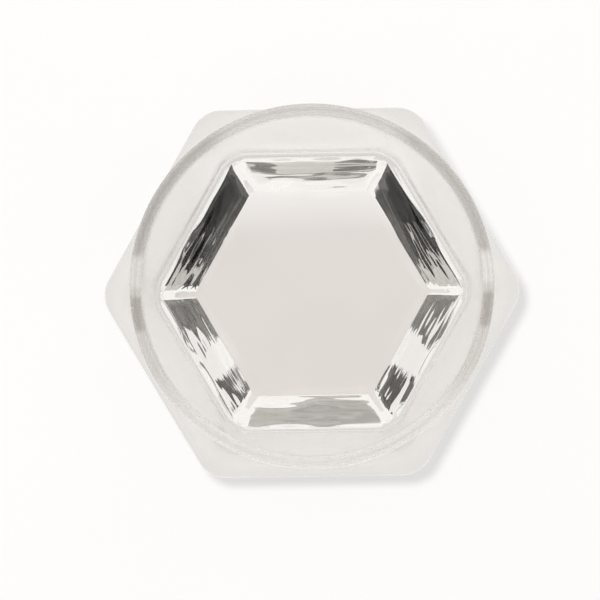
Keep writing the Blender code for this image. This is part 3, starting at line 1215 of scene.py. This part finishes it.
def make_flag():
    """A dark round flag above the camera, so that level glass mirrors something dark."""
    bpy.ops.object.select_all(action="DESELECT")
    bpy.ops.mesh.primitive_circle_add(
        vertices=FLAG_SIDES, radius=FLAG_RADIUS, fill_type="NGON", location=(0, 0, FLAG_HEIGHT))
    flag = bpy.context.object
    flag.name = "overhead_flag"
    bpy.ops.object.transform_apply(location=True, rotation=True, scale=True)
    material = make_matte(smudged_material("black_felt", FLAG_SMUDGE, *FLAG_COLOURS))
    tree = material.node_tree
    path = tree.nodes.new("ShaderNodeLightPath")
    outside = calculate(tree, "LESS_THAN", path.outputs["Transmission Depth"], 0.5)
    returned = calculate(tree, "GREATER_THAN", path.outputs["Glossy Depth"], 1.5)
    feed(tree, calculate(tree, "MAXIMUM", outside, returned), shader_of(material).inputs["Alpha"])
    flag.data.materials.append(material)
    flag.visible_camera = flag.visible_diffuse = flag.visible_shadow = False
    return flag


print("made", make_flag().name)

# %% [markdown]
# ## Cards
#
# The slopes of the hollow mirror what stands round the object, and that can't be seen in the picture.
# Small painted cards stand in for it, a tenth of a metre out on each side of the hexagon. A picture of a
# room wrapped round the world would also do, but cards can be moved one by one until the tones fit. They
# have feathered ends and streaks, and show only to light that has been mirrored at least once, so no
# other view sees them.

# %% Streaks for the cards
STREAK_SCALE = (45, 45, 650)
RAG_SCALE = (170, 170, 90)
WAVE_DETAIL = 3.0
WAVE_SPAN = (0.3, 0.7)
COVER_SOFT = 0.0004


def waves(tree, place, scale):
    """Soft waves, stretched by a different scale along each axis."""
    stretch = tree.nodes.new("ShaderNodeMapping")
    stretch.inputs["Scale"].default_value = scale
    wave = tree.nodes.new("ShaderNodeTexNoise")
    wave.inputs["Scale"].default_value = 1.0
    wave.inputs["Detail"].default_value = WAVE_DETAIL
    feed(tree, place.outputs["Object"], stretch.inputs["Vector"])
    feed(tree, stretch.outputs["Vector"], wave.inputs["Vector"])
    return fade(tree, wave.outputs["Fac"], *WAVE_SPAN)


def inside(tree, across, size, uneven, wave):
    """How far inside a card's two edges a point lies, where waves eat into the edges."""
    from_middle = calculate(tree, "ABSOLUTE", calculate(tree, "SUBTRACT", across, 0.5))
    to_edge = calculate(tree, "MULTIPLY", calculate(tree, "SUBTRACT", 0.5, from_middle), size)
    return calculate(tree, "SUBTRACT", to_edge, calculate(tree, "MULTIPLY", wave, uneven))


def make_streak_group():
    """A node group for painted cards: level streaks, and a cover with feathered ends and wavy edges."""
    sizes = {"Width": 0.02, "Height": 0.01, "Feather": 0.004, "Rag": 0.001}
    group, entry, leave = start_group("streaked_card", sizes, ["Streak", "Cover"])
    place = group.nodes.new("ShaderNodeTexCoord")
    split = group.nodes.new("ShaderNodeSeparateXYZ")
    feed(group, place.outputs["UV"], split.inputs["Vector"])
    width, height, feather, rag = [entry.outputs[name] for name in sizes]
    streak = waves(group, place, STREAK_SCALE)
    ends = inside(group, split.outputs["X"], width, feather, streak)
    edges = inside(group, split.outputs["Y"], height, rag, waves(group, place, RAG_SCALE))
    cover = fade(group, calculate(group, "MINIMUM", ends, edges), 0.0, COVER_SOFT)
    feed(group, streak, leave.inputs["Streak"])
    feed(group, cover, leave.inputs["Cover"])
    return group


streaked_card = make_streak_group()
print("group sockets:", [item.name for item in streaked_card.interface.items_tree])

# %% Paint for a card
CARD_RAG = 0.0008
RAG_SHARE = 0.25
STREAK_SPREAD = 0.65
CARD_WARMTH = (1.0, 0.985, 0.96)


def paint_card(name, width, height, grey, feather):
    """A streaked matte paint that shows only to light that has been mirrored at least once."""
    material = make_matte(new_material(name))
    tree, shader = material.node_tree, shader_of(material)
    paint = tree.nodes.new("ShaderNodeGroup")
    paint.node_tree = streaked_card
    sizes = {"Width": width, "Height": height, "Feather": feather, "Rag": min(CARD_RAG, RAG_SHARE * height)}
    for socket, size in sizes.items():
        paint.inputs[socket].default_value = size
    spread = STREAK_SPREAD * (1 - grey)
    dark, light = [
        (*(grey * share * warmth for warmth in CARD_WARMTH), 1) for share in (1 - spread, 1 + spread)]
    feed(tree, tint_over(tree, dark, paint.outputs["Streak"], light), shader.inputs["Base Color"])
    path = tree.nodes.new("ShaderNodeLightPath")
    mirrored = calculate(tree, "MINIMUM", path.outputs["Glossy Depth"], 1.0)
    feed(tree, calculate(tree, "MULTIPLY", mirrored, paint.outputs["Cover"]), shader.inputs["Alpha"])
    return material


# %% One card
CARD_REACH = 0.100
CARD_LAYER = 0.001


def make_card(name, azimuth, near, far, low, high, grey, feather, layer):
    """A small card that stands beside the foot, out of the picture, for the glass to reflect."""
    bpy.ops.object.select_all(action="DESELECT")
    turn = math.radians(azimuth)
    out = Vector((math.cos(turn), math.sin(turn), 0))
    side = Vector((-math.sin(turn), math.cos(turn), 0))
    place = out * (CARD_REACH - layer * CARD_LAYER) + side * (near + far) / 2
    place.z = (low + high) / 2
    bpy.ops.mesh.primitive_plane_add(size=1, location=place, rotation=(math.pi / 2, 0, turn + math.pi / 2))
    card = bpy.context.object
    card.name = name
    card.scale = (far - near, high - low, 1)
    bpy.ops.object.transform_apply(location=True, rotation=True, scale=True)
    card.data.materials.append(paint_card(name, far - near, high - low, grey, feather))
    card.visible_camera = card.visible_diffuse = card.visible_shadow = False
    return card


# %% [markdown]
# ## Placing the cards
#
# In each row stand the card's name, the direction it stands in, where it starts and ends along its side,
# its lower and upper edge, its grey, its feather and its layer. A card on a higher layer stands before
# the others. Cards on the left are mirrored to the right, as the two halves of the picture nearly match.

# %% Placing the cards
CARDS = (
    ("upper_left_dark", 150, -0.040, 0.0125, 0, 0.0200, 0.075, 0.004, 0),
    ("upper_left_light", 150, -0.004, 0.032, 0.0095, 0.0146, 0.75, 0.012, 1),
    ("upper_left_low", 150, -0.022, 0.017, 0, 0.0088, 0.015, 0.004, 2),
    ("upper_left_high", 150, -0.013, 0.0115, 0.0146, 0.0200, 0.004, 0.004, 2),
    ("lower_left_dark", 210, -0.020, -0.001, 0.0108, 0.0220, 0.27, 0.004, 0),
    ("lower_left_grey", 210, 0.0022, 0.0110, 0.0108, 0.0220, 0.20, 0.004, 0),
    ("lower_left_edge", 210, -0.020, 0.014, 0.0060, 0.0096, 0.30, 0.002, 0),
    ("top", 90, -0.012, 0.012, 0, 0.0127, 0.85, 0.003, 0),
    ("top_arc", 90, -0.0105, 0.0105, 0.0110, 0.0125, 0.50, 0.004, 1),
    ("top_left", 90, 0.0035, 0.013, 0.0060, 0.0108, 0.30, 0.004, 1),
    ("bottom", 270, -0.0115, 0.0115, 0, 0.0156, 0.66, 0.002, 0),
)
for name, azimuth, near, far, *rest in CARDS:
    make_card(name, azimuth, near, far, *rest)
    if "left" in name:
        make_card(name.replace("left", "right"), 180 - azimuth, -far, -near, *rest)
print("rows of cards:", len(CARDS))

# %% [markdown]
# ## Light paths
#
# Light crosses many surfaces in clear pieces before it comes out. With the usual number of bounces it
# would be cut off and leave black spots, so the limits are raised. The filter that blurs glossy light is
# turned off, because it would soften the reflections that the slopes were shaped for.

# %% Light paths
BOUNCES = 64

scene.cycles.max_bounces = BOUNCES
scene.cycles.glossy_bounces = BOUNCES
scene.cycles.transmission_bounces = BOUNCES
scene.cycles.blur_glossy = 0.0
scene.view_settings.view_transform = "Standard"
print("bounces:", BOUNCES, "view:", scene.view_settings.view_transform)
